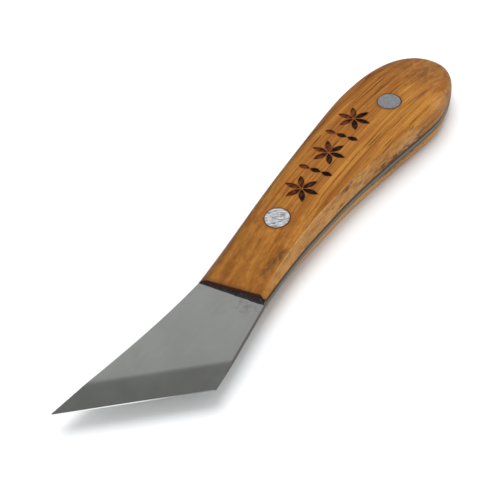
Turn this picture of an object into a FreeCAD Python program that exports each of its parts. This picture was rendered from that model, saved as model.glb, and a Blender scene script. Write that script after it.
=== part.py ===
import FreeCAD, Part
import os

from FreeCAD import Vector

# A full-tang chip carving knife, in millimetres, lying on its side.
#
# Frame: the origin is midway between the two pins, in the flat rest face of the lower scale. +X points
# along the line of the pins towards the blade, +Z up out of the upper scale, and +Y towards the heel of
# the cutting edge.
#
# One flat piece of steel is the blade and the full-length tang. A wooden scale is glued to each side
# of the tang, and two solid pins pass through both scales and the tang and are sanded flush with them.

# ---- driving dimensions -------------------------------------------------------------------------

PIN_RADIUS = 4.0
PIN_SPACING = 66.6

BLADE_THICKNESS = 2.0
TANG_RELIEF = 0.05          # the tang's faces lie this much below the polished flats of the blade
GLUE_THICKNESS = 0.15
HALF_HANDLE = 6.9           # middle of the steel to the flat outer face of a scale

# Side view of a scale: a flat landing, then a crown that falls away towards the blade, straightening
# into a taper, and a rounder crown towards the butt.
LANDING_REAR_X = -36.7
LANDING_FRONT_X = 15.3
FRONT_CROWN_RADIUS = 230.0
TAPER_SLOPE = 0.15
BUTT_CROWN_RADIUS = 110.0

# Plan outline of the tang and the scales: corner and extreme points, joined by curves.
FRONT_SPINE_CORNER = Vector(64.5, -6.9)     # front end of the scales, on the spine side
SPINE_BULGE = Vector(-27.7, -17.5)          # widest point on the spine side
BUTT_END = Vector(-67.2, -2.0)
BELLY_BULGE = Vector(-39.2, 16.4)           # widest point on the heel side
WAIST = Vector(15.8, 12.2)                  # narrowest point on the heel side
FRONT_HEEL_CORNER = Vector(60.0, 14.6)      # front end of the scales, on the heel side
FRONT_SPINE_SLOPE = 0.131
FRONT_HEEL_SLOPE = 0.135

# How far a scale's worked edge has drawn in from the outline where it meets the outer face.
EDGE_INSET_FRONT_SPINE = 1.6
EDGE_INSET_SPINE = 3.2
EDGE_INSET_BUTT = 2.6
EDGE_INSET_BELLY = 2.0
EDGE_INSET_WAIST = 1.8
EDGE_INSET_FRONT_HEEL = 1.9
FRONT_FACE_LEAN = 0.8

# Blade: a skewed cutting edge, ground from both sides.
TIP = Vector(124.8, -11.8)
HEEL = Vector(92.3, 21.2)
TIP_SPINE_SLOPE = -0.13
GRIND_WIDTH = 8.2           # from the cutting edge up to the shoulder of the grind, square to the edge
EDGE_LAND = 0.06            # thickness left at the cutting edge

# Glue squeezed out along the front end of a scale.
BEAD_WIDTH_SPINE = 0.35
BEAD_WIDTH_HEEL = 1.1
BEAD_HEIGHT_SPINE = 0.35
BEAD_HEIGHT_HEEL = 0.9

# ---- derived heights ----------------------------------------------------------------------------

MIDDLE_Z = HALF_HANDLE
TANG_HALF = BLADE_THICKNESS / 2 - TANG_RELIEF
SCALE_INNER = TANG_HALF + GLUE_THICKNESS    # middle of the steel to the inner face of a scale
OVERSIZE = 60.0                             # reach of the cutting blocks beyond the handle


def unit(x, y):
    """Unit direction in the plan."""
    return Vector(x, y).normalize()


def moved(point, dx, dy):
    return point + Vector(dx, dy)


def bezier(start, start_handle, end_handle, end, z):
    """Cubic curve in the plan at height z."""
    curve = Part.BezierCurve()
    curve.setPoles([Vector(p.x, p.y, z) for p in (start, start_handle, end_handle, end)])
    return curve.toShape()


def line(start, end, z):
    return Part.makeLine(Vector(start.x, start.y, z), Vector(end.x, end.y, z))


def handle_outline(z, insets=(0, 0, 0, 0, 0, 0), front_setback=0.0):
    """Closed plan outline of the handle at height z.

    insets draw in the front spine corner, spine bulge, butt, belly, waist and front heel corner.
    """
    front_spine_in, spine_in, butt_in, belly_in, waist_in, front_heel_in = insets
    spine_direction = unit(1, FRONT_SPINE_SLOPE)
    heel_direction = unit(1, FRONT_HEEL_SLOPE)
    front_spine = moved(FRONT_SPINE_CORNER, -front_setback, front_spine_in)
    spine = moved(SPINE_BULGE, 0, spine_in)
    butt = moved(BUTT_END, butt_in, 0)
    belly = moved(BELLY_BULGE, 0, -belly_in)
    waist = moved(WAIST, 0, -waist_in)
    front_heel = moved(FRONT_HEEL_CORNER, -front_setback, -front_heel_in)
    edges = [
        bezier(front_spine, front_spine - spine_direction * 20.0, moved(spine, 12.5, 0), spine, z),
        bezier(spine, moved(spine, butt_in - 20.5, 0), moved(butt, 0, spine_in - 11.5), butt, z),
        bezier(butt, moved(butt, 0, 14.0 - belly_in), moved(belly, -6.0, 0), belly, z),
        bezier(belly, moved(belly, 8.0, 0), moved(waist, -20.0, 0), waist, z),
        bezier(waist, moved(waist, 10.0, 0), front_heel - heel_direction * 22.0, front_heel, z),
        line(front_heel, front_spine, z),
    ]
    return Part.Wire(edges)


def plate(wire, height):
    """Solid of constant thickness standing on a flat closed wire."""
    return Part.Face(wire).extrude(Vector(0, 0, height))


def pin_shaft(x):
    """Cylinder along a pin's axis, longer than the handle is thick."""
    return Part.makeCylinder(PIN_RADIUS, 2 * OVERSIZE, Vector(x, 0, -OVERSIZE))


def drilled(solid):
    """The solid with the two pin holes through it."""
    return solid.cut(pin_shaft(PIN_SPACING / 2)).cut(pin_shaft(-PIN_SPACING / 2))


# ---- steel --------------------------------------------------------------------------------------


def blade_outline(z):
    """Plan outline of the blade in front of the scales."""
    tip_handle = TIP - unit(1, TIP_SPINE_SLOPE) * 20.0
    edges = [
        bezier(FRONT_SPINE_CORNER, moved(FRONT_SPINE_CORNER, 20.0, 0.3), tip_handle, TIP, z),
        line(TIP, HEEL, z),
        line(HEEL, FRONT_HEEL_CORNER, z),
        line(FRONT_HEEL_CORNER, FRONT_SPINE_CORNER, z),
    ]
    return Part.Wire(edges)


def grind_wedge(side):
    """Block that grinds the bevel on the upper (side +1) or lower (side -1) face of the blade."""
    along = unit(HEEL.x - TIP.x, HEEL.y - TIP.y)
    inward = Vector(-along.y, along.x)
    start = TIP - along * OVERSIZE
    end = HEEL + along * OVERSIZE
    edge_z = MIDDLE_Z + side * EDGE_LAND / 2
    rise = (BLADE_THICKNESS - EDGE_LAND) / 2 / GRIND_WIDTH
    reach = 2 * GRIND_WIDTH
    far_z = edge_z + side * rise * reach
    outer_z = MIDDLE_Z - side * rise * reach
    section = [
        Vector(start.x, start.y, edge_z),
        Vector(start.x, start.y, edge_z) + inward * reach + Vector(0, 0, far_z - edge_z),
        Vector(start.x, start.y, edge_z + side * OVERSIZE) + inward * reach,
        Vector(start.x, start.y, edge_z + side * OVERSIZE) - inward * reach,
        Vector(start.x, start.y, outer_z) - inward * reach,
    ]
    face = Part.Face(Part.makePolygon(section + section[:1]))
    return face.extrude(end - start)


def blade_and_tang():
    bottom = MIDDLE_Z - BLADE_THICKNESS / 2
    blade = plate(blade_outline(bottom), BLADE_THICKNESS)
    blade = blade.cut(grind_wedge(1)).cut(grind_wedge(-1))
    tang = plate(handle_outline(MIDDLE_Z - TANG_HALF), 2 * TANG_HALF)
    return drilled(blade.fuse(tang))


# ---- scales and pins ----------------------------------------------------------------------------


def crown_drop(x):
    """How far the outer surface of a scale has fallen below its landing at x."""
    behind = max(LANDING_REAR_X - x, 0.0)
    ahead = max(x - LANDING_FRONT_X, 0.0)
    curved = min(ahead, FRONT_CROWN_RADIUS * TAPER_SLOPE)
    straight = ahead - curved
    return behind ** 2 / (2 * BUTT_CROWN_RADIUS) + curved ** 2 / (2 * FRONT_CROWN_RADIUS) + straight * TAPER_SLOPE


def crown_block(side):
    """Everything between the middle of the steel and the outer surface of one scale."""
    taper_x = LANDING_FRONT_X + FRONT_CROWN_RADIUS * TAPER_SLOPE
    front_x = FRONT_SPINE_CORNER.x + BEAD_WIDTH_HEEL
    rear_x = BUTT_END.x - BEAD_WIDTH_HEEL

    def surface_point(x):
        return Vector(x, -OVERSIZE, MIDDLE_Z + side * (HALF_HANDLE - crown_drop(x)))

    def crown_curve(level_x, low_x):
        """Parabola that leaves the landing level at level_x and reaches the crown's height at low_x."""
        corner = surface_point(level_x)
        corner.x = (level_x + low_x) / 2
        curve = Part.BezierCurve()
        curve.setPoles([surface_point(level_x), corner, surface_point(low_x)])
        return curve.toShape()

    floor_front = Vector(front_x, -OVERSIZE, MIDDLE_Z)
    floor_rear = Vector(rear_x, -OVERSIZE, MIDDLE_Z)
    edges = [
        crown_curve(LANDING_REAR_X, rear_x),
        Part.makeLine(surface_point(LANDING_REAR_X), surface_point(LANDING_FRONT_X)),
        crown_curve(LANDING_FRONT_X, taper_x),
        Part.makeLine(surface_point(taper_x), surface_point(front_x)),
        Part.makeLine(surface_point(front_x), floor_front),
        Part.makeLine(floor_front, floor_rear),
        Part.makeLine(floor_rear, surface_point(rear_x)),
    ]
    profile = Part.Wire(Part.sortEdges(edges)[0])
    return Part.Face(profile).extrude(Vector(0, 2 * OVERSIZE, 0))


def wood_thickness(x):
    """Thickness of a scale at x, between its inner face and its crown."""
    return HALF_HANDLE - crown_drop(x) - SCALE_INNER


def scale(side):
    """Wooden handle scale, upper (side +1) or lower (side -1)."""
    inner_z = MIDDLE_Z + side * SCALE_INNER
    outer_z = MIDDLE_Z + side * HALF_HANDLE
    # The sloping sides run on up to the plane of the landing, so where the crown has thinned the wood
    # the outline up there draws in by more than the inset wanted at the surface.
    run_on = wood_thickness(LANDING_FRONT_X) / wood_thickness(FRONT_HEEL_CORNER.x)
    insets = (
        EDGE_INSET_FRONT_SPINE * run_on,
        EDGE_INSET_SPINE,
        EDGE_INSET_BUTT,
        EDGE_INSET_BELLY,
        EDGE_INSET_WAIST,
        EDGE_INSET_FRONT_HEEL * run_on,
    )
    inner = handle_outline(inner_z)
    outer = handle_outline(outer_z, insets, FRONT_FACE_LEAN * run_on)
    block = Part.makeLoft([inner, outer], True, True)
    return drilled(block.common(crown_block(side)))


def rivet(x):
    """Solid pin, sanded to the outer surface of both scales."""
    shaft = pin_shaft(x)
    return shaft.common(crown_block(1)).fuse(shaft.common(crown_block(-1))).removeSplitter()


# ---- glue ---------------------------------------------------------------------------------------


def bead_section(corner, width, height, side):
    """Triangle of glue in the corner between the blade and the front end of a scale."""
    foot_z = MIDDLE_Z + side * BLADE_THICKNESS / 2
    foot = Vector(corner.x, corner.y, foot_z)
    return Part.makePolygon([foot, foot + Vector(width, 0, 0), foot + Vector(0, 0, side * height), foot])


def glue_bead(side):
    """Squeezed-out glue along the front end, thin at the spine and thicker at the back."""
    spine_end = bead_section(FRONT_SPINE_CORNER, BEAD_WIDTH_SPINE, BEAD_HEIGHT_SPINE, side)
    heel_end = bead_section(FRONT_HEEL_CORNER, BEAD_WIDTH_HEEL, BEAD_HEIGHT_HEEL, side)
    return Part.makeLoft([spine_end, heel_end], True, True)


def glue_film(side):
    inner_z = MIDDLE_Z + side * TANG_HALF
    return drilled(plate(handle_outline(inner_z), side * GLUE_THICKNESS))


NODES = {
    "blade_and_tang": blade_and_tang(),
    "upper_scale": scale(1),
    "lower_scale": scale(-1),
    "front_rivet": rivet(PIN_SPACING / 2),
    "rear_rivet": rivet(-PIN_SPACING / 2),
    "upper_glue_layer": glue_film(1).fuse(glue_bead(1)),
    "lower_glue_layer": glue_film(-1),
}

os.makedirs("parts", exist_ok=True)
for name, shape in NODES.items():
    shape.exportStep(f"parts/{name}.step")
    print(name, "valid" if shape.isValid() else "INVALID", len(shape.Solids), round(shape.Volume, 1))
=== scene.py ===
"""The chip carving knife's looks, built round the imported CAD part.

Lengths in this file are millimetres in the part's own frame; make_piece turns them into metres. The origin
is midway between the two pins in the flat rest face of the lower scale, +X towards the blade, +Y towards
the heel of the cutting edge, +Z up. "Side" is +1 for the upper half of the knife and -1 for the lower.
"""
import math

import bmesh
import bpy
import numpy as np
from mathutils import Matrix, Vector
from mathutils.geometry import delaunay_2d_cdt


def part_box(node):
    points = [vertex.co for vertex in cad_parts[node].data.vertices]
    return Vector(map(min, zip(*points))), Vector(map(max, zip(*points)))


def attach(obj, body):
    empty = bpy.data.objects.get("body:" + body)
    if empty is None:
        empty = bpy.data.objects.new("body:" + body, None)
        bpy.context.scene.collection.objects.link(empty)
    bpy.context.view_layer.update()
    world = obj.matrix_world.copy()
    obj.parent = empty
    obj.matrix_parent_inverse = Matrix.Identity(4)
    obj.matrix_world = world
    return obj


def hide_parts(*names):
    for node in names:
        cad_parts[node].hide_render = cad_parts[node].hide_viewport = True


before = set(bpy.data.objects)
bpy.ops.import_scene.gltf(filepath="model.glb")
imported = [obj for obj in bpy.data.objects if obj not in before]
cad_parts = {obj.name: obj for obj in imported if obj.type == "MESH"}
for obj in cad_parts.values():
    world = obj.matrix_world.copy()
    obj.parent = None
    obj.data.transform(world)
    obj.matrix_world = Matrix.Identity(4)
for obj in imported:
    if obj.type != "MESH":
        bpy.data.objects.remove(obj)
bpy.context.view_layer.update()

# ---- the part's dimensions ----

METRES = 0.001


def millimetres(length):
    """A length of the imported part, to the hundredth, since its round pieces are packed as facets."""
    return round(length / METRES, 2)


steel_low, steel_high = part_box("blade_and_tang")
pin_low, pin_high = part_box("front_rivet")
MIDDLE_Z = millimetres((steel_high.z + steel_low.z) / 2)
BLADE_HALF = millimetres((steel_high.z - steel_low.z) / 2)
PIN_RADIUS = millimetres((pin_high.x - pin_low.x) / 2)
PIN_X = millimetres((pin_high.x + pin_low.x) / 2)
# Heights above the middle of the steel: a tang face, a scale's inner face and its flat outer face.
TANG_HALF = millimetres(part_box("upper_glue_layer")[0].z - MIDDLE_Z * METRES)
SCALE_INNER = millimetres(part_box("upper_scale")[0].z - MIDDLE_Z * METRES)
HALF_HANDLE = millimetres(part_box("upper_scale")[1].z - MIDDLE_Z * METRES)

FRONT_SPINE_CORNER = np.array([64.5, -6.9])
SPINE_BULGE = np.array([-27.7, -17.5])
BUTT_END = np.array([-67.2, -2.0])
BELLY_BULGE = np.array([-39.2, 16.4])
WAIST = np.array([15.8, 12.2])
FRONT_HEEL_CORNER = np.array([60.0, 14.6])
FRONT_SPINE_SLOPE = 0.131
FRONT_HEEL_SLOPE = 0.135

LANDING_REAR_X = -36.7
LANDING_FRONT_X = 15.3
FRONT_CROWN_RADIUS = 230.0
TAPER_SLOPE = 0.15
BUTT_CROWN_RADIUS = 110.0
FRONT_FACE_LEAN = 0.8

TIP = np.array([124.8, -11.8])
HEEL = np.array([92.3, 21.2])
TIP_SPINE_SLOPE = -0.13
GRIND_WIDTH = 8.2
EDGE_LAND = 0.06


# ---- plan geometry ----


def unit(x, y):
    return np.array([x, y]) / math.hypot(x, y)


def bezier(start, start_handle, end_handle, end, count=60):
    """Points of a cubic curve, without its last point."""
    t = np.linspace(0, 1, count, endpoint=False)[:, None]
    s = 1 - t
    return s ** 3 * start + 3 * s ** 2 * t * start_handle + 3 * s * t ** 2 * end_handle + t ** 3 * end


def evenly(points, spacing):
    """The same open polyline with its points evenly spaced."""
    steps = np.linalg.norm(np.diff(points, axis=0), axis=1)
    walked = np.concatenate([[0], np.cumsum(steps)])
    marks = np.linspace(0, walked[-1], max(2, round(walked[-1] / spacing) + 1))
    return np.column_stack([np.interp(marks, walked, points[:, axis]) for axis in (0, 1)])


OUTLINE_STEP = 0.5

# The handle's outline from its spine-side front corner round the butt to its heel-side front corner: a
# point, the direction there, and how far the curve holds to that direction before and after the point.
HANDLE_STOPS = [
    (FRONT_SPINE_CORNER, -unit(1, FRONT_SPINE_SLOPE), 0.0, 20.0),
    (SPINE_BULGE, np.array([-1.0, 0.0]), 12.5, 20.5),
    (BUTT_END, np.array([0.0, 1.0]), 11.5, 14.0),
    (BELLY_BULGE, np.array([1.0, 0.0]), 6.0, 8.0),
    (WAIST, np.array([1.0, 0.0]), 20.0, 10.0),
    (FRONT_HEEL_CORNER, unit(1, FRONT_HEEL_SLOPE), 22.0, 0.0),
]


def handle_side(front_reach):
    """The handle's outline, an open line, with both ends carried front_reach past the front corners."""
    curves = []
    for (start, start_way, _, after), (end, end_way, before, _) in zip(HANDLE_STOPS, HANDLE_STOPS[1:]):
        curves.append(bezier(start, start + after * start_way, end - before * end_way, end))
    curves.append(FRONT_HEEL_CORNER[None, :])
    if front_reach > 0:
        curves.insert(0, (FRONT_SPINE_CORNER + front_reach * unit(1, FRONT_SPINE_SLOPE))[None, :])
        curves.append((FRONT_HEEL_CORNER + front_reach * unit(1, FRONT_HEEL_SLOPE))[None, :])
    return evenly(np.vstack(curves), OUTLINE_STEP)


def inward(points):
    """Unit normals of an open polyline, towards the inside of the handle."""
    along = np.gradient(points, axis=0)
    along /= np.linalg.norm(along, axis=1)[:, None]
    return np.column_stack([along[:, 1], -along[:, 0]])


def inside(points, polygon):
    """Whether each point lies inside a closed polygon."""
    result = np.zeros(len(points), bool)
    for (ax, ay), (bx, by) in zip(polygon, np.roll(polygon, -1, axis=0)):
        if ay == by:
            continue
        spans = (points[:, 1] < ay) != (points[:, 1] < by)
        cross_x = ax + (points[:, 1] - ay) * (bx - ax) / (by - ay)
        result ^= spans & (points[:, 0] < cross_x)
    return result


def distance_to(points, polygon):
    """Distance of each point from a closed polygon's outline."""
    nearest = np.full(len(points), np.inf)
    for a, b in zip(polygon, np.roll(polygon, -1, axis=0)):
        edge = b - a
        share = np.clip(((points - a) @ edge) / max(edge @ edge, 1e-12), 0, 1)
        nearest = np.minimum(nearest, np.linalg.norm(points - a - share[:, None] * edge, axis=1))
    return nearest


CIRCLE_POINTS = 96


def circle(centre_x):
    """Outline of a pin hole."""
    angle = np.linspace(0, 2 * math.pi, CIRCLE_POINTS, endpoint=False)
    return np.column_stack([centre_x + PIN_RADIUS * np.cos(angle), PIN_RADIUS * np.sin(angle)])


def fenced_regions(triangles, fences):
    """Lists of triangles that hang together without crossing a fence, less those open to the outside."""
    owners = {}
    for number, corners in enumerate(triangles):
        for k in range(3):
            owners.setdefault(frozenset((corners[k - 1], corners[k])), []).append(number)
    neighbours = [[] for _ in triangles]
    at_outside = set()
    for edge, pair in owners.items():
        if edge in fences:
            continue
        if len(pair) == 1:
            at_outside.add(pair[0])
        else:
            neighbours[pair[0]].append(pair[1])
            neighbours[pair[1]].append(pair[0])
    seen = set()
    regions = []
    for start in range(len(triangles)):
        if start in seen:
            continue
        seen.add(start)
        region = [start]
        for number in region:
            fresh = [n for n in neighbours[number] if n not in seen]
            seen.update(fresh)
            region += fresh
        if not at_outside.intersection(region):
            regions.append(region)
    return regions


MERGE_DISTANCE = 1e-6


def triangulate(outline, holes=(), marks=(), loose=()):
    """Triangles inside a closed outline and outside its holes.

    They follow the edges of the marks, which are closed loops too, and use the loose points between them.
    Returns the points, in the order given, and the triangles.
    """
    loops = [outline, *holes, *marks]
    points = np.vstack([*loops, loose]) if len(loose) else np.vstack(loops)
    edges = []
    first = 0
    for loop in loops:
        edges += [(first + k, first + (k + 1) % len(loop)) for k in range(len(loop))]
        first += len(loop)
    found = delaunay_2d_cdt([Vector(p) for p in points], edges, [], 0, MERGE_DISTANCE)
    faces, origin = found[2], found[3]
    source = [o[0] if o else -1 for o in origin]
    triangles = np.array([[source[i] for i in face] for face in faces])
    assert triangles.min() >= 0, "a loop crosses another loop"
    centres = points[triangles].mean(axis=1)
    kept = inside(centres, outline)
    for hole in holes:
        kept &= ~inside(centres, hole)
    sides = points[triangles[:, 1:]] - points[triangles[:, :1]]
    area = np.abs(sides[:, 0, 0] * sides[:, 1, 1] - sides[:, 0, 1] * sides[:, 1, 0])
    chosen = []
    for region in fenced_regions(triangles.tolist(), {frozenset(edge) for edge in edges}):
        largest = max(region, key=lambda number: area[number])
        if kept[largest]:
            chosen += region
    return points, triangles[sorted(chosen)]


# ---- heights ----


def smoothstep(low, high, value):
    t = np.clip((value - low) / (high - low), 0, 1)
    return t * t * (3 - 2 * t)


def blend(a, b, share):
    return a + (b - a) * share


def crown_height(x):
    """Height of a scale's outer surface above the middle of the steel."""
    behind = np.maximum(LANDING_REAR_X - x, 0.0)
    ahead = np.maximum(x - LANDING_FRONT_X, 0.0)
    curved = np.minimum(ahead, FRONT_CROWN_RADIUS * TAPER_SLOPE)
    butt_drop = behind ** 2 / (2 * BUTT_CROWN_RADIUS)
    front_drop = curved ** 2 / (2 * FRONT_CROWN_RADIUS) + (ahead - curved) * TAPER_SLOPE
    return HALF_HANDLE - butt_drop - front_drop


# The worked edge of a scale: cut flat in front, rounded in the rear.
ROUNDING_START_X = 13.3
ROUNDING_LENGTH = 50.0
SPINE_WIDTH_FRONT = 2.4
SPINE_WIDTH_REAR = 3.2
HEEL_WIDTH_X = [-50.0, 0.0, 60.0]
HEEL_WIDTHS = [2.0, 1.8, 1.9]
HALF_TURN = 6.0  # the spine side's edge gives way to the heel side's within this y of the axis
SPINE_POWER_FRONT = 1.3  # 1 cuts the edge flat and 2 rounds it like an ellipse
HEEL_POWER_FRONT = 1.0
POWER_REAR = 2.0
FRONT_SOFTNESS = 0.10  # share of the edge's width over which its crease is sanded round, front and rear
REAR_SOFTNESS = 0.19
SOFT_FROM = 0.2  # the sanding takes full effect from this share of the edge's width
SANDING_STEPS = 9


def rear_share(x):
    """0 in the front of the handle, where its edges are cut flat, to 1 in the rear, where they are round."""
    return np.clip((ROUNDING_START_X - x) / ROUNDING_LENGTH, 0, 1)


def edge_shape(points):
    """Width of the worked edge at each outline point, and the power that rounds it."""
    x, y = points[:, 0], points[:, 1]
    rear = rear_share(x)
    heel_side = smoothstep(-HALF_TURN, HALF_TURN, y)
    spine_width = blend(SPINE_WIDTH_FRONT, SPINE_WIDTH_REAR, rear)
    width = blend(spine_width, np.interp(x, HEEL_WIDTH_X, HEEL_WIDTHS), heel_side)
    spine_power = blend(SPINE_POWER_FRONT, POWER_REAR, rear)
    power = blend(spine_power, blend(HEEL_POWER_FRONT, POWER_REAR, rear), heel_side)
    return width, power


def edge_rise(u, power, softness):
    """Share of the full height reached at the share u of the worked edge's width."""
    total = np.zeros_like(power)
    offsets = np.linspace(-1, 1, SANDING_STEPS) * min(1.0, u / SOFT_FROM)
    for offset in offsets:
        v = np.clip(u + offset * softness, 0, 1)
        total += (1 - (1 - v) ** power) ** (1 / power)
    return total / len(offsets)


# ---- pieces from meshes ----

SHARP_DEGREES = 32


def make_piece(name, points, faces, materials, node, slot):
    """A shown piece, from points in millimetres, that stands for a CAD node and rides with the knife."""
    mesh = bpy.data.meshes.new(name)
    mesh.from_pydata([Vector(p) * METRES for p in points], [], [list(map(int, f)) for f in faces])
    bm = bmesh.new()
    bm.from_mesh(mesh)
    bmesh.ops.recalc_face_normals(bm, faces=bm.faces)
    bm.to_mesh(mesh)
    bm.free()
    return finish_piece(name, mesh, materials, node)


def new_object(name, data):
    """A new object in the scene."""
    thing = bpy.data.objects.new(name, data)
    bpy.context.scene.collection.objects.link(thing)
    return thing


def finish_piece(name, mesh, materials, node):
    mesh.validate()
    piece = new_object(name, mesh)
    for material in materials:
        mesh.materials.append(material)
    mesh.shade_smooth()
    mesh.set_sharp_from_angle(angle=math.radians(SHARP_DEGREES))
    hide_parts(node)
    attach(piece, "root")
    return piece


def ring(first, count):
    return [first + k for k in range(count)]


def bridge(lower, upper):
    """Quads between two closed rings of point numbers."""
    count = len(lower)
    return [(lower[k], lower[(k + 1) % count], upper[(k + 1) % count], upper[k]) for k in range(count)]


# ---- carved ornament ----

CARVING_SLOPE = 0.12  # slope of the row of carving to the line of the pins
CARVING_Y = -2.9
ROSETTE_SPACING = 19.0
ROSETTE_PETALS = 6
ROSETTE_RADIUS = 3.15  # centre of the rosette to the middle of a petal
ROSETTE_PETAL_LENGTH = 5.6
COLUMN_SPACING = 4.1  # between the small petals in the columns that part the rosettes
COLUMN_PETAL_LENGTH = 3.9
PETAL_WIDTH = 2.0
PETAL_POINTS = 14
CARVING_DEPTH = 0.45
CARVING_WALL = 0.14  # width of the sloping walls, seen from above
RIM_SCORCH = 0.45  # how brown the face is right beside the carving, and how far that reaches
SCORCH_REACH = 0.55


def petal(centre, direction, length, width):
    """Lens-shaped loop, the outline of one carved petal."""
    along = np.array([math.cos(direction), math.sin(direction)])
    across = np.array([-along[1], along[0]])
    t = np.linspace(-1, 1, PETAL_POINTS)
    half = width / 2 * (1 - t ** 2)
    upper = centre + np.outer(t * length / 2, along) + np.outer(half, across)
    lower = centre + np.outer(t * length / 2, along) - np.outer(half, across)
    return np.vstack([lower, upper[::-1][1:-1]])


def carved_petals():
    """(centre, direction, length) of every petal of the ornament between the pins."""
    tilt = math.atan(CARVING_SLOPE)
    upright = tilt + math.pi / 2

    def place(x, across):
        y = CARVING_Y + CARVING_SLOPE * x
        return np.array([x - across * math.sin(tilt), y + across * math.cos(tilt)])

    petals = []
    for rosette in (-1, 0, 1):
        for k in range(ROSETTE_PETALS):
            direction = upright + k * 2 * math.pi / ROSETTE_PETALS
            outward = np.array([math.cos(direction), math.sin(direction)])
            centre = place(rosette * ROSETTE_SPACING, 0) + ROSETTE_RADIUS * outward
            petals.append((centre, direction, ROSETTE_PETAL_LENGTH))
    for column in (-0.5, 0.5):
        for across in (-COLUMN_SPACING, 0.0, COLUMN_SPACING):
            petals.append((place(column * ROSETTE_SPACING, across), upright, COLUMN_PETAL_LENGTH))
    return petals


# ---- wooden scales ----

FRONT_REACH = 4.0  # the scales are built this much too long, then cut off at the front
FRONT_CHAMFER = 0.12
RING_ROWS = 25
RING_CROWDING = 1.25  # above 1, the rows of the worked edge crowd together near the outline
RING_REACH = 1.2  # the worked edge runs on over the face by this share of its width
GRID_STEP = 0.5
GRID_HALF_LENGTH = 70.0
GRID_HALF_WIDTH = 20.0
HEEL_SIDE_Y = 8.0  # paint that only one side has fades between the axis and this y
FACET_FADE = (0.86, 1.06)  # shares of the edge's width between which the flat cut ends

# How far in from the outline the band of painted shade and wear lies, and the offsets from there over which
# it comes and goes.
SHADE_WEAR_X = [-66.0, -44.0, -10.0, 4.0, 25.0, 43.0, 60.0]
SHADE_WEAR_DEPTHS = [0.4, 0.95, 1.7, 2.1, 2.1, 1.7, 1.1]
SHADE_WEAR_COMES = (-0.8, -0.2)
SHADE_WEAR_GOES = (3.2, -0.1)


def edge_shade_and_wear(plan, depth):
    """Painted shade, with some wear and grime, along the spine-side edge, by place in the plan and distance
    in from the outline.
    """
    offset = depth - np.interp(plan[:, 0], SHADE_WEAR_X, SHADE_WEAR_DEPTHS)
    spine_side = 1 - smoothstep(0.0, HEEL_SIDE_Y, plan[:, 1])
    return spine_side * smoothstep(*SHADE_WEAR_COMES, offset) * smoothstep(*SHADE_WEAR_GOES, offset)


class ScaleSurface:
    """Points of a scale, by plan and height above the middle of the steel, with the paint its wood reads."""

    def __init__(self):
        self.points = []
        self.faces = []
        self.paint = {"burn": [], "facet": [], "rubbed": []}

    def add(self, plan, height, **paint):
        """Adds points and returns the number of the first. Paint that isn't given is 0."""
        first = len(self.points)
        self.points += [(x, y, h) for (x, y), h in zip(plan, height)]
        for name, values in self.paint.items():
            values += list(paint.get(name, np.zeros(len(plan))))
        return first

    def mesh(self, side):
        mesh = bpy.data.meshes.new("scale")
        points = [Vector((x, y, MIDDLE_Z + side * h)) * METRES for x, y, h in self.points]
        mesh.from_pydata(points, [], self.faces)
        for name, values in self.paint.items():
            attribute = mesh.attributes.new(name, "FLOAT", "POINT")
            attribute.data.foreach_set("value", np.array(values, np.float32))
        return mesh


def add_worked_edge(surface, outline):
    """Adds rows of points from the tang's outline inwards and up. Returns the plan of the innermost row."""
    normals = inward(outline)
    width, power = edge_shape(outline)
    heel_side = smoothstep(0.0, HEEL_SIDE_Y, outline[:, 1])
    softness = blend(FRONT_SOFTNESS, REAR_SOFTNESS, rear_share(outline[:, 0]))
    for row in range(RING_ROWS):
        u = RING_REACH * (row / (RING_ROWS - 1)) ** RING_CROWDING
        plan = outline + normals * (width * u)[:, None]
        top = crown_height(plan[:, 0])
        height = SCALE_INNER + (top - SCALE_INNER) * edge_rise(u, power, softness)
        facet = heel_side * (1 - smoothstep(*FACET_FADE, u))
        surface.add(plan, height, facet=facet, rubbed=edge_shade_and_wear(plan, width * u))
    columns = len(outline)
    for row in range(RING_ROWS - 1):
        for k in range(columns - 1):
            a = row * columns + k
            surface.faces.append((a, a + columns, a + columns + 1, a + 1))
    return plan


def clear_grid(border, loops):
    """Grid points inside the border, clear of it and of the loops, for an even mesh."""
    xs = np.arange(-GRID_HALF_LENGTH, GRID_HALF_LENGTH, GRID_STEP)
    ys = np.arange(-GRID_HALF_WIDTH, GRID_HALF_WIDTH, GRID_STEP)
    grid = np.array([(x, y) for x in xs for y in ys])
    clear = inside(grid, border) & (distance_to(grid, border) > 0.6 * GRID_STEP)
    for loop in loops:
        near = np.linalg.norm(grid - loop.mean(axis=0), axis=1) < PIN_RADIUS + 1
        clear[near] &= ~inside(grid[near], loop) & (distance_to(grid[near], loop) > 0.5 * GRID_STEP)
    return grid[clear]


def add_outer_face(surface, outline, border, holes, petals):
    """Adds the outer surface, with the carving. Returns the first point of the pin holes."""
    floor_width = PETAL_WIDTH - 2 * CARVING_WALL
    rims = [petal(c, d, length, PETAL_WIDTH) for c, d, length in petals]
    floors = [petal(c, d, length - 4 * CARVING_WALL, floor_width) for c, d, length in petals]
    plan, triangles = triangulate(border, holes, rims + floors, clear_grid(border, holes + rims))
    height = crown_height(plan[:, 0])
    floor_first = sum(len(loop) for loop in [border] + holes + rims)
    floor_end = floor_first + sum(len(loop) for loop in floors)
    height[floor_first:floor_end] -= CARVING_DEPTH
    burn = np.zeros(len(plan))
    for rim in rims:
        near = np.linalg.norm(plan - rim.mean(axis=0), axis=1) < 2 * PIN_RADIUS
        beside = RIM_SCORCH * (1 - smoothstep(0, SCORCH_REACH, distance_to(plan[near], rim)))
        burn[near] = np.maximum(burn[near], beside)
    burn[floor_first:floor_end] = 1.0
    first = surface.add(plan, height, burn=burn, rubbed=edge_shade_and_wear(plan, distance_to(plan, outline)))
    surface.faces += [tuple(first + t) for t in triangles]
    return first + len(border)


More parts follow.
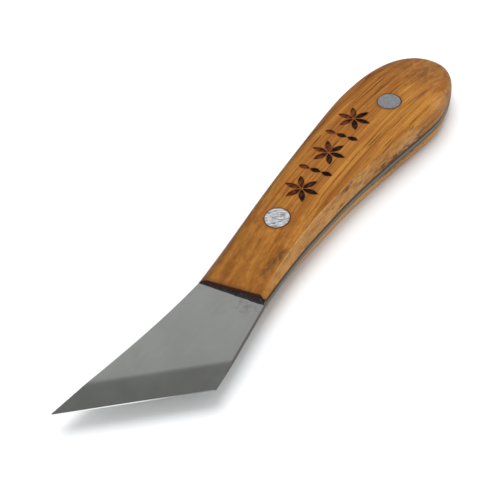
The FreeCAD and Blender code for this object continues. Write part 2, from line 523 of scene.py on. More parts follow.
def add_inner_face(surface, outline, holes):
    """Adds the flat face that meets the glue. Returns the first point of the pin holes."""
    plan, triangles = triangulate(outline, holes)
    first = surface.add(plan, np.full(len(plan), SCALE_INNER))
    surface.faces += [tuple(first + t[::-1]) for t in triangles]
    return first + len(outline)


def scale_mesh(side):
    """One handle scale as a mesh, with its worked edges, pin holes, carving and leaning front."""
    surface = ScaleSurface()
    outline = handle_side(FRONT_REACH)
    holes = [circle(x) for x in (-PIN_X, PIN_X)]
    border = add_worked_edge(surface, outline)
    upper = add_outer_face(surface, outline, border, holes, carved_petals() if side > 0 else [])
    lower = add_inner_face(surface, outline, holes)
    for first in range(0, len(holes) * CIRCLE_POINTS, CIRCLE_POINTS):
        surface.faces += bridge(ring(upper + first, CIRCLE_POINTS), ring(lower + first, CIRCLE_POINTS))
    mesh = surface.mesh(side)
    cut_front(mesh, side)
    return mesh


def front_plane(side):
    """A point and the outward normal of the leaning front face of a scale."""
    foot_line = FRONT_HEEL_CORNER - FRONT_SPINE_CORNER
    forward = unit(foot_line[1], -foot_line[0])
    height = crown_height(FRONT_HEEL_CORNER[0]) - SCALE_INNER
    lean = math.atan2(FRONT_FACE_LEAN, height)
    foot = np.array([*FRONT_HEEL_CORNER, MIDDLE_Z + side * SCALE_INNER])
    return foot, np.array([*(forward * math.cos(lean)), side * math.sin(lean)])


CREST_ROUNDS = 20


def front_crest(side, y):
    """Point of the front face's upper edge at the given y, found by repeated steps."""
    foot, normal = front_plane(side)
    x = foot[0]
    for _ in range(CREST_ROUNDS):
        z = MIDDLE_Z + side * crown_height(x)
        x = foot[0] - (normal[1] * (y - foot[1]) + normal[2] * (z - foot[2])) / normal[0]
    return np.array([x, y, MIDDLE_Z + side * crown_height(x)])


def cut_front(mesh, side):
    """Joins the mesh's seams, cuts the leaning front face and takes off its sharp upper edge."""
    bm = bmesh.new()
    bm.from_mesh(mesh)
    bmesh.ops.remove_doubles(bm, verts=bm.verts, dist=1e-7)
    foot, normal = front_plane(side)
    cut_off(bm, foot, normal)
    spine_end = front_crest(side, FRONT_SPINE_CORNER[1])
    heel_end = front_crest(side, FRONT_HEEL_CORNER[1])
    crest = (heel_end - spine_end) / np.linalg.norm(heel_end - spine_end)
    top = np.array([TAPER_SLOPE, 0, side])
    chamfer = normal + top / np.linalg.norm(top)
    chamfer -= (chamfer @ crest) * crest
    chamfer /= np.linalg.norm(chamfer)
    cut_off(bm, heel_end - chamfer * FRONT_CHAMFER, chamfer)
    bmesh.ops.recalc_face_normals(bm, faces=bm.faces)
    bm.to_mesh(mesh)
    bm.free()


def cut_off(bm, point, normal):
    """Removes what lies beyond a plane and closes the cut."""
    geometry = bm.verts[:] + bm.edges[:] + bm.faces[:]
    at = Vector(point) * METRES
    plane = {"dist": 1e-8, "plane_co": at, "plane_no": normal}
    cut = bmesh.ops.bisect_plane(bm, geom=geometry, clear_outer=True, **plane)
    rim = [e for e in cut["geom_cut"] if isinstance(e, bmesh.types.BMEdge)]
    bmesh.ops.holes_fill(bm, edges=[e for e in rim if e.is_boundary], sides=0)


# ---- steel ----

BLADE_STEP = 0.7
SPINE_HOLD = 20.0  # how far the blade's spine holds to its directions at the scales and at the tip
SPINE_RISE = 0.3
SHOULDER_SOFTNESS = 0.5  # half width over which the shoulder of the grind is blended
SHOULDER_ROWS = 11
SHOULDER_REACH = 1.6  # the rows of points across the shoulder reach this many softnesses to each side
MICRO_BEVEL = 0.22  # width of the honed strip
MICRO_BEVEL_HALF = 0.09  # half thickness of the steel behind the honed strip
LOOSE_CLEARANCE = 0.12  # loose points stay this far from the outline


def blade_front():
    """Outline of the blade from its spine-side corner at the scales round to its heel-side corner."""
    tip_handle = TIP - SPINE_HOLD * unit(1, TIP_SPINE_SLOPE)
    spine = bezier(FRONT_SPINE_CORNER, FRONT_SPINE_CORNER + [SPINE_HOLD, SPINE_RISE], tip_handle, TIP)
    spine = evenly(np.vstack([spine, TIP]), BLADE_STEP)
    cutting = evenly(np.vstack([TIP, HEEL]), BLADE_STEP)
    back = evenly(np.vstack([HEEL, FRONT_HEEL_CORNER]), BLADE_STEP)
    return np.vstack([spine[:-1], cutting[:-1], back])


def depth_behind_edge(plan):
    """Distance of plan points behind the line of the cutting edge."""
    along = unit(*(HEEL - TIP))
    return (plan - TIP) @ np.array([-along[1], along[0]])


def steel_half_thickness(plan):
    """Half the steel's thickness at each plan point: tang, flat, blended shoulder, grind, honed edge."""
    depth = depth_behind_edge(plan)
    slope = (BLADE_HALF - MICRO_BEVEL_HALF) / (GRIND_WIDTH - MICRO_BEVEL)
    grind = MICRO_BEVEL_HALF + (depth - MICRO_BEVEL) * slope
    soft = 2 * SHOULDER_SOFTNESS * slope
    rounding = np.maximum(soft - np.abs(grind - BLADE_HALF), 0) ** 2 / (4 * soft)
    honed = EDGE_LAND / 2 + depth * (MICRO_BEVEL_HALF - EDGE_LAND / 2) / MICRO_BEVEL
    blade = np.minimum(np.minimum(grind, BLADE_HALF) - rounding, honed)
    front = unit(*(FRONT_HEEL_CORNER - FRONT_SPINE_CORNER))
    ahead = (plan - FRONT_SPINE_CORNER) @ np.array([front[1], -front[0]])
    return np.where(ahead < -1e-6, TANG_HALF, np.maximum(blade, EDGE_LAND / 2))


def row_across(loop, depth):
    """Evenly spaced points inside the blade along a line parallel to the cutting edge, depth behind it."""
    behind = depth_behind_edge(loop) - depth
    ends = []
    for k in range(len(loop) - 1):
        if behind[k] * behind[k + 1] < 0:
            share = behind[k] / (behind[k] - behind[k + 1])
            ends.append(loop[k] + share * (loop[k + 1] - loop[k]))
    return evenly(np.array(ends), BLADE_STEP)[1:-1]


def blade_mesh_data():
    """Points and faces of the steel, both faces and then a wall, with the number of the first wall face."""
    front = blade_front()
    tang = handle_side(0.0)[::-1]
    loop = np.vstack([front[:-1], tang[:-1]])
    shoulder = np.linspace(-SHOULDER_REACH, SHOULDER_REACH, SHOULDER_ROWS) * SHOULDER_SOFTNESS
    depths = [MICRO_BEVEL] + list(GRIND_WIDTH + shoulder)
    loose = np.vstack([row_across(front, depth) for depth in depths])
    loose = loose[distance_to(loose, loop) > LOOSE_CLEARANCE]
    points, triangles = triangulate(loop, loose=loose)
    half = steel_half_thickness(points)
    count = len(points)
    upper = [(x, y, MIDDLE_Z + h) for (x, y), h in zip(points, half)]
    lower = [(x, y, MIDDLE_Z - h) for (x, y), h in zip(points, half)]
    faces = [tuple(t) for t in triangles]
    faces += [tuple(count + t[::-1]) for t in triangles]
    walls = bridge(ring(0, len(loop)), ring(count, len(loop)))
    return upper + lower, faces + walls, len(faces)


# ---- pins and glue ----

PIN_PLAY = 0.05  # gap between a pin and its hole
PIN_RIM = 0.18  # width of the rounded rim left by sanding
PIN_RIM_DROP = 0.07
PIN_FACE_ROWS = [0.02, 0.25, 0.5, 0.75, 1.0]  # shares of the radius at which an end has rings of points
RAGGED = 0.03  # how far the waves of the rim swing
RAGGED_WAVES = [5, 11, 17]  # waves round the rim


def pin_end(centre_x, side):
    """Rings of points over one end of a pin, from its middle out to its rim."""
    angle = np.linspace(0, 2 * math.pi, CIRCLE_POINTS, endpoint=False)
    shifts = (centre_x, 0, 2)
    ragged = RAGGED * sum(np.sin(waves * angle + shift) for waves, shift in zip(RAGGED_WAVES, shifts))
    radius = PIN_RADIUS - PIN_PLAY
    rings = [(share * (radius - PIN_RIM + ragged), 0.0) for share in PIN_FACE_ROWS]
    rings.append((np.full(CIRCLE_POINTS, radius), PIN_RIM_DROP))
    rows = []
    for spread, drop in rings:
        x = centre_x + spread * np.cos(angle)
        y = spread * np.sin(angle)
        rows.append(np.column_stack([x, y, MIDDLE_Z + side * (crown_height(x) - drop)]))
    return rows


def pin_mesh_data(centre_x):
    """A pin through the whole handle, each end sanded to the outer surface, its rim slightly ragged."""
    rows = pin_end(centre_x, 1) + pin_end(centre_x, -1)[::-1]
    count = CIRCLE_POINTS
    faces = []
    for row in range(len(rows) - 1):
        faces += bridge(ring((row + 1) * count, count), ring(row * count, count))
    faces.append(tuple(ring(0, count)))
    faces.append(tuple(ring((len(rows) - 1) * count, count)[::-1]))
    return np.vstack(rows), faces


def film_mesh_data(side):
    """The even glue film between the tang and a scale."""
    outline = handle_side(0.0)
    holes = [circle(x) for x in (-PIN_X, PIN_X)]
    plan, triangles = triangulate(outline, holes)
    count = len(plan)
    points = [(x, y, MIDDLE_Z + side * height) for height in (TANG_HALF, SCALE_INNER) for x, y in plan]
    faces = [tuple(t[::-1]) for t in triangles] + [tuple(count + t) for t in triangles]
    first = 0
    for loop in [outline] + holes:
        faces += bridge(ring(first, len(loop)), ring(count + first, len(loop)))
        first += len(loop)
    return points, faces


BEAD_STATIONS = 80
BEAD_ARC = 8
BEAD_WIDTHS = (0.30, 1.05)  # at the spine side and at the heel side
BEAD_HEIGHTS = (0.30, 0.90)
BEAD_ROUNDNESS = 1.2
BEAD_WAVES = [(0.10, 23, 1), (0.06, 57, 0)]  # height, pace and start of each wave along the bead


def bead_mesh_data(side, first):
    """Squeezed-out glue in the corner in front of a scale, thin at the spine and thick at the heel side,
    whose dark wedge also stands in as painted shade and reflection of the scale's front.
    """
    normal = front_plane(side)[1]
    line = FRONT_HEEL_CORNER - FRONT_SPINE_CORNER
    forward = unit(line[1], -line[0])
    lean_rate = abs(normal[2]) / math.hypot(normal[0], normal[1])
    points = []
    for station in range(BEAD_STATIONS):
        s = station / (BEAD_STATIONS - 1)
        wave = 1 + sum(height * math.sin(pace * s + start) for height, pace, start in BEAD_WAVES)
        width = blend(*BEAD_WIDTHS, s) * wave
        height = blend(*BEAD_HEIGHTS, s) * (2 - wave)
        root = FRONT_SPINE_CORNER + s * line
        for k in range(BEAD_ARC):
            turn = k / (BEAD_ARC - 1) * math.pi / 2
            up = BLADE_HALF + height * math.sin(turn) ** BEAD_ROUNDNESS
            back = max(up - SCALE_INNER, 0.0) * lean_rate
            out = width * math.cos(turn) ** BEAD_ROUNDNESS - back * math.sin(turn)
            points.append((*(root + forward * out), MIDDLE_Z + side * up))
        points.append((*root, MIDDLE_Z + side * TANG_HALF))
    across = BEAD_ARC + 1
    last = first + (BEAD_STATIONS - 1) * across
    faces = []
    for start in range(first, last, across):
        faces += bridge(ring(start, across), ring(start + across, across))
    faces.append(tuple(ring(first, across)[::-1]))
    faces.append(tuple(ring(last, across)))
    return points, faces


# ---- node materials ----


def linear(red, green, blue):
    """Scene colour of a display colour given as 0 to 255."""
    shares = [value / 255 for value in (red, green, blue)]
    return tuple(s / 12.92 if s <= 0.04045 else ((s + 0.055) / 1.055) ** 2.4 for s in shares)


def put(tree, socket, value):
    """Feeds an input from another node's output or sets it to a plain value or colour."""
    if isinstance(value, bpy.types.NodeSocket):
        tree.links.new(value, socket)
    elif socket.type == "RGBA":
        socket.default_value = (*value, 1.0)
    else:
        socket.default_value = value


def mix_colours(tree, factor, a, b, kind="MIX"):
    """Output of a new colour mix node: a where the factor is 0, and b mixed in where it is 1."""
    node = tree.nodes.new("ShaderNodeMix")
    node.data_type = "RGBA"
    node.blend_type = kind
    sockets = {socket.identifier: socket for socket in node.inputs}
    for key, value in (("Factor_Float", factor), ("A_Color", a), ("B_Color", b)):
        put(tree, sockets[key], value)
    return next(o for o in node.outputs if o.identifier == "Result_Color")


class Recipe:
    """A node material in the making. Its methods add one node each and return that node's output.

    Places are in millimetres in the part's frame, so a noise of scale 1 has features about 1 mm wide.
    """

    def __init__(self, name):
        self.material = bpy.data.materials.new(name)
        self.material.use_nodes = True
        self.tree = self.material.node_tree
        self.shader = self.tree.nodes["Principled BSDF"]
        place = self.tree.nodes.new("ShaderNodeTexCoord").outputs["Object"]
        self.place = self.vector("MULTIPLY", place, (1 / METRES,) * 3)
        self.x, self.y, self.z = self.node("ShaderNodeSeparateXYZ", {0: self.place}).outputs

    def node(self, kind, values, **settings):
        node = self.tree.nodes.new(kind)
        for key, value in settings.items():
            setattr(node, key, value)
        for key, value in values.items():
            put(self.tree, node.inputs[key], value)
        return node

    def math(self, operation, a, b=0.0):
        return self.node("ShaderNodeMath", {0: a, 1: b}, operation=operation).outputs[0]

    def vector(self, operation, a, b):
        return self.node("ShaderNodeVectorMath", {0: a, 1: b}, operation=operation).outputs[0]

    def join(self, x, y, z):
        return self.node("ShaderNodeCombineXYZ", {0: x, 1: y, 2: z}).outputs[0]

    def painted(self, name):
        """Paint stored on the mesh's points."""
        return self.node("ShaderNodeAttribute", {}, attribute_name=name).outputs["Fac"]

    def plus(self, a, b):
        return self.math("ADD", a, b)

    def minus(self, a, b):
        return self.math("SUBTRACT", a, b)

    def larger(self, a, b):
        return self.math("MAXIMUM", a, b)

    def times(self, *factors):
        total = factors[0]
        for factor in factors[1:]:
            total = self.math("MULTIPLY", total, factor)
        return total

    def weighted(self, *terms):
        """Sum of socket times factor over (socket, factor) pairs."""
        total = None
        for socket, factor in terms:
            part = self.times(socket, factor)
            total = part if total is None else self.plus(total, part)
        return total

    def noise(self, vector, detail=3.0, roughness=0.55, scale=1.0):
        values = {"Vector": vector, "Scale": scale, "Detail": detail, "Roughness": roughness}
        return self.node("ShaderNodeTexNoise", values).outputs[0]

    def stretched(self, vector, factors, **settings):
        """Noise over the vector scaled by the factors, so that its grain is long where a factor is small."""
        return self.noise(self.vector("MULTIPLY", vector, factors), **settings)

    def ramp(self, value, low, high, out_low=0.0, out_high=1.0):
        """Smooth step from out_low at low to out_high at high."""
        values = {"Value": value, "From Min": low, "From Max": high, "To Min": out_low, "To Max": out_high}
        return self.node("ShaderNodeMapRange", values, interpolation_type="SMOOTHSTEP").outputs[0]

    def patch(self, centre, radii, softness=0.6):
        """1 inside an ellipsoid and 0 outside, with a border that takes up this share of it."""
        scaled = self.vector("DIVIDE", self.vector("SUBTRACT", self.place, centre), radii)
        length = self.node("ShaderNodeVectorMath", {0: scaled}, operation="LENGTH").outputs["Value"]
        return self.ramp(length, 1.0, 1.0 - softness)

    def mix(self, factor, a, b, kind="MIX"):
        return mix_colours(self.tree, factor, a, b, kind)

    def bump(self, height, distance, strength):
        values = {"Height": height, "Distance": distance * METRES, "Strength": strength}
        return self.node("ShaderNodeBump", values).outputs[0]

    def finish(self, colour, roughness, **more):
        values = {"Base Color": colour, "Roughness": roughness}
        values.update({key.replace("_", " "): value for key, value in more.items()})
        for key, value in values.items():
            put(self.tree, self.shader.inputs[key], value)
        return self.material


# ---- oak ----

GRAIN_SLOPE = 0.045  # slope of the grain to the line of the pins, midway between them
GRAIN_BEND = 0.0012  # how much the grain turns on its way to the front
GRAIN_WANDER = 3.0
OAK_BANDS = (141, 88, 35), (170, 116, 53)
ENDS_TINT = (0.79, 0.76, 0.71)
OIL_TINT = (0.96, 0.91, 0.68)


class Oak(Recipe):
    """The wood in the making: its colour so far, and the noises that its layers and its bump share."""

    def __init__(self):
        super().__init__("oak")
        wander = self.stretched(self.place, (0.014, 0.05, 0.05), detail=2.0)
        bend = self.times(self.x, self.x, GRAIN_BEND)
        drift = ((self.y, 1.0), (self.x, -GRAIN_SLOPE), (bend, -1.0), (wander, GRAIN_WANDER))
        grain = self.join(self.x, self.weighted(*drift), self.z)
        bands = self.stretched(grain, (0.012, 0.26, 0.20), roughness=0.6)
        self.streaks = self.stretched(grain, (0.012, 0.80, 0.65), detail=4.0, roughness=0.62)
        self.fibres = self.stretched(grain, (0.035, 2.5, 2.3), detail=4.0, roughness=0.68)
        pores = self.stretched(grain, (0.060, 2.0, 1.7), roughness=0.5)
        dashes = self.stretched(grain, (0.17, 2.4, 2.2), detail=2.0, roughness=0.5)
        self.chips = self.stretched(grain, (0.45, 1.6, 1.4), detail=4.0, roughness=0.7)
        self.clouds = self.stretched(self.place, (0.05, 0.12, 0.12))
        self.specks = self.stretched(self.place, (0.9, 1.6, 1.6), roughness=0.65)
        self.blots = self.stretched(self.place, (0.30, 0.60, 0.60), detail=4.0, roughness=0.65)
  # The streaks and pores fade towards the front and at the butt.
        butt_fade = self.ramp(self.x, -66.0, -44.0, 0.40, 1.0)
        self.rear = self.times(self.ramp(self.x, 45.0, 10.0, 0.22, 1.0), butt_fade)
        self.lines = self.times(self.ramp(pores, 0.62, 0.66), self.rear)
        self.short = self.times(self.ramp(dashes, 0.655, 0.70), self.ramp(self.x, -60.0, -44.0))
  # Distance from the inner face of either scale.
        self.level = self.minus(self.math("ABSOLUTE", self.minus(self.z, MIDDLE_Z)), SCALE_INNER)
        dark, light = OAK_BANDS
        self.colour = self.mix(self.ramp(bands, 0.36, 0.64), linear(*dark), linear(*light))

    def lay(self, display_colour, *factors):
        """Lays a colour over the wood, as strong as the product of the factors."""
        self.colour = self.mix(self.times(*factors), self.colour, linear(*display_colour))

    def tint(self, shares, factor):
        """Multiplies the red, green and blue of the wood by these shares where the factor is 1."""
        self.colour = self.mix(factor, self.colour, shares, "MULTIPLY")


def add_oak_ends_and_cut(r):
    """Browner ends, and the paler flat cut along the heel side with a painted highlight along its crest."""
    facet = r.painted("facet")
    r.tint(ENDS_TINT, r.larger(r.ramp(r.x, 34.0, 48.0), r.ramp(r.x, -42.0, -54.0)))
    towards_blade = r.times(r.ramp(r.x, -26.0, 6.0, 0.15, 1.0), r.ramp(r.x, 58.0, 48.0, 0.3, 1.0))
    r.lay((210, 164, 114), facet, towards_blade, r.ramp(r.clouds, 0.25, 0.6, 0.6, 1.0), 0.62)
    # A painted highlight along the crest of the flat cut.
    crest_highlight_fades = r.ramp(r.x, 0.0, 12.0), r.ramp(r.x, 56.0, 46.0)
    r.lay((234, 192, 138), facet, r.minus(1.0, facet), *crest_highlight_fades, 2.1)


def add_oak_grain(r):
    """Dark and light streaks and fibres, clouds, and long and short pores, under the oil."""
    r.lay((108, 62, 22), r.rear, r.ramp(r.streaks, 0.50, 0.68, 0.0, 0.72))
    r.lay((200, 148, 78), r.rear, r.ramp(r.streaks, 0.47, 0.30, 0.0, 0.50))
    grainy = r.times(r.ramp(r.x, 50.0, 20.0, 0.40, 1.0), r.ramp(r.x, -62.0, -44.0, 0.45, 1.0))
    r.lay((198, 144, 76), grainy, r.ramp(r.fibres, 0.50, 0.28, 0.0, 0.50))
    r.lay((98, 54, 18), grainy, r.ramp(r.fibres, 0.50, 0.72, 0.0, 0.55))
    r.lay((126, 70, 26), r.ramp(r.clouds, 0.42, 0.70, 0.0, 0.30))
    r.lay((76, 42, 16), r.lines, 0.75)
    r.lay((84, 46, 18), r.short, 0.50)
    r.tint(OIL_TINT, 1.0)


def add_oak_stains(r):
    """Smudges near the front, a scuff by the waist, a dark band and pale patches at the butt, blotches."""
    smudge = r.plus(r.patch((50.0, 9.3, 11.0), (5.0, 2.2, 6.0)), r.patch((45.0, 9.6, 11.0), (4.0, 1.4, 6.0)))
    r.lay((80, 54, 32), smudge, r.ramp(r.blots, 0.42, 0.60, 0.15, 0.85))
    scuff = r.patch((7.0, 10.6, 12.0), (9.0, 2.4, 6.0))
    r.lay((112, 78, 48), scuff, r.ramp(r.blots, 0.46, 0.60, 0.0, 0.60))
    broken = r.ramp(r.blots, 0.35, 0.6, 0.5, 1.0)
    r.lay((100, 66, 34), r.patch((-59.0, 1.8, 11.0), (14.0, 3.6, 9.0), 0.8), broken, 0.45)
    butt_glow = r.patch((-42.0, 13.8, 10.0), (9.0, 3.4, 8.0), 0.9)
    belly_glow = r.patch((-22.0, 14.6, 9.5), (9.0, 2.4, 6.0))
    r.lay((212, 166, 112), r.plus(butt_glow, belly_glow), broken, 0.36)
    blotchy = r.larger(r.ramp(r.x, 18.0, 38.0), r.ramp(r.x, -44.0, -56.0))
    r.lay((106, 62, 27), blotchy, r.ramp(r.blots, 0.42, 0.68, 0.0, 0.34))
    r.lay((180, 126, 72), blotchy, r.ramp(r.blots, 0.50, 0.28, 0.0, 0.24))
    r.lay((96, 58, 28), r.ramp(r.specks, 0.50, 0.68), 0.22)
    in_lower_scale = r.ramp(r.z, MIDDLE_Z + 0.5, MIDDLE_Z - 0.5, 0.0, 0.25)
    r.lay((212, 164, 110), in_lower_scale)


def add_oak_edges(r):
    """Scorch flecks low on the belly, a dark seam at the glue, painted shade and wear along the spine-side
    edge, rings round the pins.
    """
    low = r.ramp(r.level, 3.4, 0.4)
    belly = r.times(r.ramp(r.x, 6.0, -14.0), r.ramp(r.x, -38.0, -26.0), r.ramp(r.y, 8.0, 12.0))
    flecks = r.ramp(r.plus(r.chips, r.times(low, belly, 0.17)), 0.52, 0.74)
    r.lay((78, 42, 22), flecks, r.ramp(belly, 0.0, 0.2), r.ramp(low, 0.0, 0.3), 0.85)
    r.lay((40, 26, 16), r.ramp(r.level, 0.50, 0.15), 0.92)
    # Painted shade, partly wear and grime, in a band along the spine-side edge.
    r.lay((66, 46, 30), r.painted("rubbed"), r.ramp(r.chips, 0.30, 0.60, 0.45, 0.70))
    for x in (PIN_X, -PIN_X):
        dx = r.minus(r.x, x + 0.12)
        dy = r.minus(r.y, 0.15)
        reach = r.math("SQRT", r.plus(r.times(dx, dx), r.times(dy, dy)))
        r.lay((52, 30, 18), r.ramp(reach, PIN_RADIUS + 0.50, PIN_RADIUS + 0.12, 0.0, 0.90))
        r.lay((90, 52, 24), r.ramp(reach, PIN_RADIUS + 1.8, PIN_RADIUS + 0.1, 0.0, 0.30))


def add_oak_burns(r):
    """The burnt carving, blackest on its heel side, and the scorched front face."""
    across = r.minus(r.y, r.times(r.x, CARVING_SLOPE))
    black = r.plus(r.ramp(across, -7.5, 0.5, 0.0, 0.5), r.ramp(r.blots, 0.35, 0.65, 0.0, 0.6))
    char = r.mix(r.ramp(black, 0.12, 0.80), linear(104, 50, 20), linear(26, 11, 8))
    r.colour = r.mix(r.ramp(r.painted("burn"), 0.0, 0.9), r.colour, char)
    foot, normal = front_plane(1)
    depth = r.plus(r.weighted(*zip((r.x, r.y, r.z), -normal)), float(foot @ normal))
    r.lay((48, 28, 20), r.ramp(r.plus(depth, r.times(r.specks, 0.3)), 0.38, 0.22))
    r.lay((70, 40, 20), r.ramp(depth, 1.6, 0.2, 0.0, 0.35))


def oak_material():
    r = Oak()
    for layer in (add_oak_ends_and_cut, add_oak_grain, add_oak_stains, add_oak_edges, add_oak_burns):
        layer(r)
    roughness = r.plus(r.weighted((r.fibres, 0.18), (r.clouds, 0.12), (r.lines, 0.15)), 0.38)
    bump = r.bump(r.weighted((r.fibres, -0.35), (r.lines, -0.8), (r.short, -0.4)), 0.05, 0.5)
    return r.finish(r.colour, roughness, Normal=bump, Specular_IOR_Level=0.15)


# ---- metals, glue and floor ----


def steel_material():
    """The blade's faces: fine satin with faint clouds and smears, and a brown stain by the scales."""
    r = Recipe("blade_steel")
    clouds = r.stretched(r.place, (0.09, 0.09, 0.09))
    satin = r.stretched(r.place, (0.5, 7.0, 3.0))
    blots = r.noise(r.place, scale=0.55, detail=4.0, roughness=0.65)
    smear = r.stretched(r.place, (0.10, 0.35, 0.35), detail=4.0, roughness=0.6)
    colour = r.mix(r.ramp(clouds, 0.3, 0.7), linear(190, 193, 189), linear(198, 200, 197))
    stain = r.times(r.patch((63.5, 10.5, 7.9), (6.0, 7.0, 2.0), 0.9), r.ramp(blots, 0.45, 0.62))
    colour = r.mix(r.times(stain, 0.45), colour, linear(146, 132, 112))
    colour = r.mix(r.ramp(smear, 0.50, 0.70, 0.0, 0.15), colour, linear(168, 172, 170))
    roughness = r.plus(r.weighted((satin, 0.05), (clouds, 0.05)), 0.17)
    return r.finish(colour, roughness, Normal=r.bump(satin, 0.001, 0.2), Metallic=1.0)


def steel_edge_material():
    """The walls of the steel: dull along the tang, darkened just under the upper scale by the glue line and
    painted shade.
    """
    r = Recipe("steel_edge")
    marks = r.stretched(r.place, (2.5, 2.5, 12.0))
    tang = r.mix(r.ramp(marks, 0.3, 0.7), linear(92, 90, 78), linear(112, 109, 96))
    # Painted shade under the upper scale's edge, with the dark glue line, near black at the top of the
    # tang's wall.
    glue_and_shade = r.ramp(r.z, MIDDLE_Z + 0.10, MIDDLE_Z + 0.50, 0.0, 0.96)
    tang = r.mix(glue_and_shade, tang, linear(24, 19, 16))
    blade = r.mix(r.ramp(marks, 0.3, 0.7), linear(66, 58, 52), linear(92, 84, 77))
    colour = r.mix(r.ramp(r.x, 58.0, 64.0), tang, blade)
    return r.finish(colour, 0.6, Normal=r.bump(marks, 0.02, 0.4), Metallic=0.3)


def honed_edge_material():
    """The honed strip, painted as a bright highlight broken by fine scratches near the tip, and duller near
    the heel.
    """
    r = Recipe("honed_edge")
    scratches = r.stretched(r.place, (6.0, 6.0, 1.0))
    # Painted highlight along the honed strip, strongest near the tip and broken by fine scratches.
    glint_and_scratches = r.times(r.ramp(r.x, 98.0, 110.0), r.ramp(scratches, 0.2, 0.5, 0.6, 1.0))
    colour = r.mix(glint_and_scratches, linear(132, 132, 136), linear(240, 240, 240))
    return r.finish(colour, 0.55, Metallic=0.2)


SANDING_TURN = math.radians(56.9)  # direction of the sanding marks on the front pin


def aluminium_material():
    """Sanded pins: the front one coarse and bright, the rear one fine and grey."""
    r = Recipe("pin_aluminium")
    cos, sin = math.cos(SANDING_TURN), math.sin(SANDING_TURN)
    along = r.weighted((r.x, -cos), (r.y, sin))
    over = r.weighted((r.x, sin), (r.y, cos))
    ground = r.noise(r.join(r.times(along, 0.45), r.times(over, 2.8), 0.0), detail=4.0, roughness=0.65)
    mottle = r.noise(r.place, detail=4.0, roughness=0.7, scale=2.2)
    front = r.ramp(r.x, -5.0, 5.0)
    coarse = r.mix(r.ramp(ground, 0.40, 0.56), linear(138, 142, 150), linear(255, 255, 255))
    fine = r.mix(r.ramp(mottle, 0.35, 0.65), linear(138, 139, 142), linear(168, 169, 172))
    height = r.plus(r.times(front, ground, 3.0), mottle)
    return r.finish(r.mix(front, fine, coarse), 0.42, Normal=r.bump(height, 0.05, 0.7), Metallic=0.75)


def glue_material():
    """Dark, glossy hardened epoxy with dust in it."""
    r = Recipe("glue")
    speckle = r.noise(r.place, scale=1.8)
    colour = r.mix(r.ramp(speckle, 0.4, 0.75), linear(16, 14, 18), linear(52, 44, 46))
    return r.finish(colour, 0.22, Normal=r.bump(speckle, 0.15, 0.6))


def floor_material():
    return Recipe("floor_white").finish((0.812, 0.820, 0.828), 0.9, Specular_IOR_Level=0.0)


# ---- the knife's pieces ----


def make_blade():
    points, faces, wall_first = blade_mesh_data()
    finishes = [steel_material(), steel_edge_material(), honed_edge_material()]
    blade = make_piece("blade_visual", points, faces, finishes, "blade_and_tang", "blade_steel")
    for wall in blade.data.polygons[wall_first:]:
        wall.material_index = 1
    for face in blade.data.polygons:
        if depth_behind_edge(np.array(face.center[:2]) / METRES) < MICRO_BEVEL:
            face.material_index = 2


def make_scales():
    wood = oak_material()
    for node, side in (("upper_scale", 1), ("lower_scale", -1)):
        finish_piece(node + "_visual", scale_mesh(side), [wood], node)


def make_pins():
    aluminium = aluminium_material()
    for node, x in (("front_rivet", PIN_X), ("rear_rivet", -PIN_X)):
        make_piece(node + "_visual", *pin_mesh_data(x), [aluminium], node, "pin_aluminium")


def make_glue():
    """Both films, and the bead in front of the upper scale, glue that also serves as painted shade and
    reflection.
    """
    glue = glue_material()
    for node, side in (("upper_glue_layer", 1), ("lower_glue_layer", -1)):
        points, faces = film_mesh_data(side)
        # The dark bead is glue and also painted shade and reflection at the upper scale's front.
        if side > 0:
            bead_points, bead_faces = bead_mesh_data(side, len(points))
            points = points + bead_points
            faces = faces + bead_faces
        make_piece(node + "_visual", points, faces, [glue], node, "glue")


# ---- stage, camera and light, in metres ----

FLOOR_REACH = 3.0
FLOOR_DROP = 0.0001  # the floor lies this far under the knife, so that no two faces coincide

CAMERA_TARGET = Vector((0.04465, -0.00263, 0.0069))
CAMERA_DISTANCE = 0.3119
CAMERA_AZIMUTH = 0.7133  # radians
CAMERA_ELEVATION = 0.8184
CAMERA_ROLL = 0.0992
CAMERA_SENSOR = 36.0  # millimetres
CAMERA_LENS = 72.0

SKY = 0.90  # brightness of the soft light from all round
# What mirror-like surfaces see instead: (sine of the height above the horizon, brightness).
STUDIO = [(0.0, 0.74), (0.45, 0.58), (0.70, 0.525), (0.815, 0.525), (0.865, 0.203), (1.0, 0.203)]
KEY_IRRADIANCE = 1.78
KEY_ANGLE = 40.0  # degrees across, which sets how soft the shadows are
TOWARDS_KEY = Vector((-0.13, -0.13, 0.62))


def make_floor():
    mesh = bpy.data.meshes.new("floor")
    signs = ((-1, -1), (1, -1), (1, 1), (-1, 1))
    mesh.from_pydata([(x * FLOOR_REACH, y * FLOOR_REACH, 0) for x, y in signs], [], [(0, 1, 2, 3)])
    floor = new_object("floor", mesh)
    floor.location.z = -FLOOR_DROP
    mesh.materials.append(floor_material())


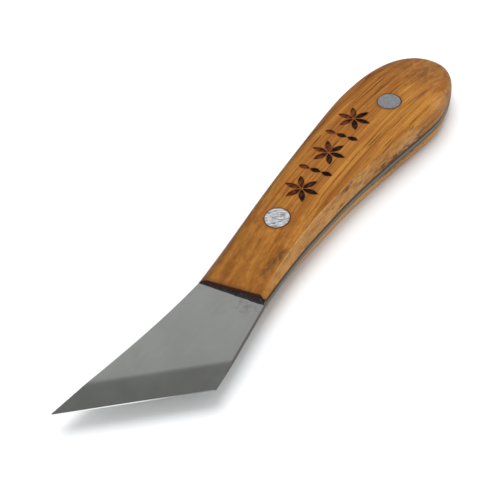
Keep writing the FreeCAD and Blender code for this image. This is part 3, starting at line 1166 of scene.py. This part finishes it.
def make_camera():
    """The camera, where a perspective fit of the pins and outlines puts it."""
    flat = math.cos(CAMERA_ELEVATION)
    out = (flat * math.cos(CAMERA_AZIMUTH), flat * math.sin(CAMERA_AZIMUTH), math.sin(CAMERA_ELEVATION))
    back = Vector(out)
    level_right = (-back).cross(Vector((0, 0, 1))).normalized()
    level_down = (-back).cross(level_right)
    right = math.cos(CAMERA_ROLL) * level_right + math.sin(CAMERA_ROLL) * level_down
    up = math.sin(CAMERA_ROLL) * level_right - math.cos(CAMERA_ROLL) * level_down
    data = bpy.data.cameras.new("camera")
    data.sensor_width = CAMERA_SENSOR
    data.lens = CAMERA_LENS
    data.clip_start = 0.01
    camera = new_object("camera", data)
    turn = Matrix((right, up, back)).transposed().to_4x4()
    camera.matrix_world = Matrix.Translation(CAMERA_TARGET + back * CAMERA_DISTANCE) @ turn
    bpy.context.scene.camera = camera


def grey(value):
    return (value,) * 3


def make_world():
    """White for the camera, an even grey for soft light, and a graded studio for mirror-like surfaces."""
    world = bpy.data.worlds.new("studio")
    bpy.context.scene.world = world
    world.use_nodes = True
    tree = world.node_tree
    direction = tree.nodes.new("ShaderNodeTexCoord").outputs["Generated"]
    split = tree.nodes.new("ShaderNodeSeparateXYZ")
    tree.links.new(direction, split.inputs[0])
    ramp = tree.nodes.new("ShaderNodeValToRGB")
    tree.links.new(split.outputs["Z"], ramp.inputs[0])
    stops = ramp.color_ramp.elements
    while len(stops) < len(STUDIO):
        stops.new(0.5)
    for stop, (position, brightness) in zip(stops, STUDIO):
        stop.position = position
        stop.color = (*grey(brightness), 1.0)
    rays = tree.nodes.new("ShaderNodeLightPath").outputs
    plain = mix_colours(tree, rays["Is Camera Ray"], grey(SKY), grey(1.0))
    shown = mix_colours(tree, rays["Is Glossy Ray"], plain, ramp.outputs["Color"])
    tree.links.new(shown, tree.nodes["Background"].inputs["Color"])


def make_key_light():
    """One broad, even light from above, and a little from the butt and the spine side."""
    lamp = bpy.data.lights.new("key", "SUN")
    lamp.energy = KEY_IRRADIANCE
    lamp.angle = math.radians(KEY_ANGLE)
    key = new_object("key", lamp)
    key.matrix_world = TOWARDS_KEY.to_track_quat("Z", "Y").to_matrix().to_4x4()
    key.visible_glossy = False


make_scales()
make_blade()
make_pins()
make_glue()
make_floor()
make_camera()
make_world()
make_key_light()
bpy.context.scene.view_settings.view_transform = "Standard"
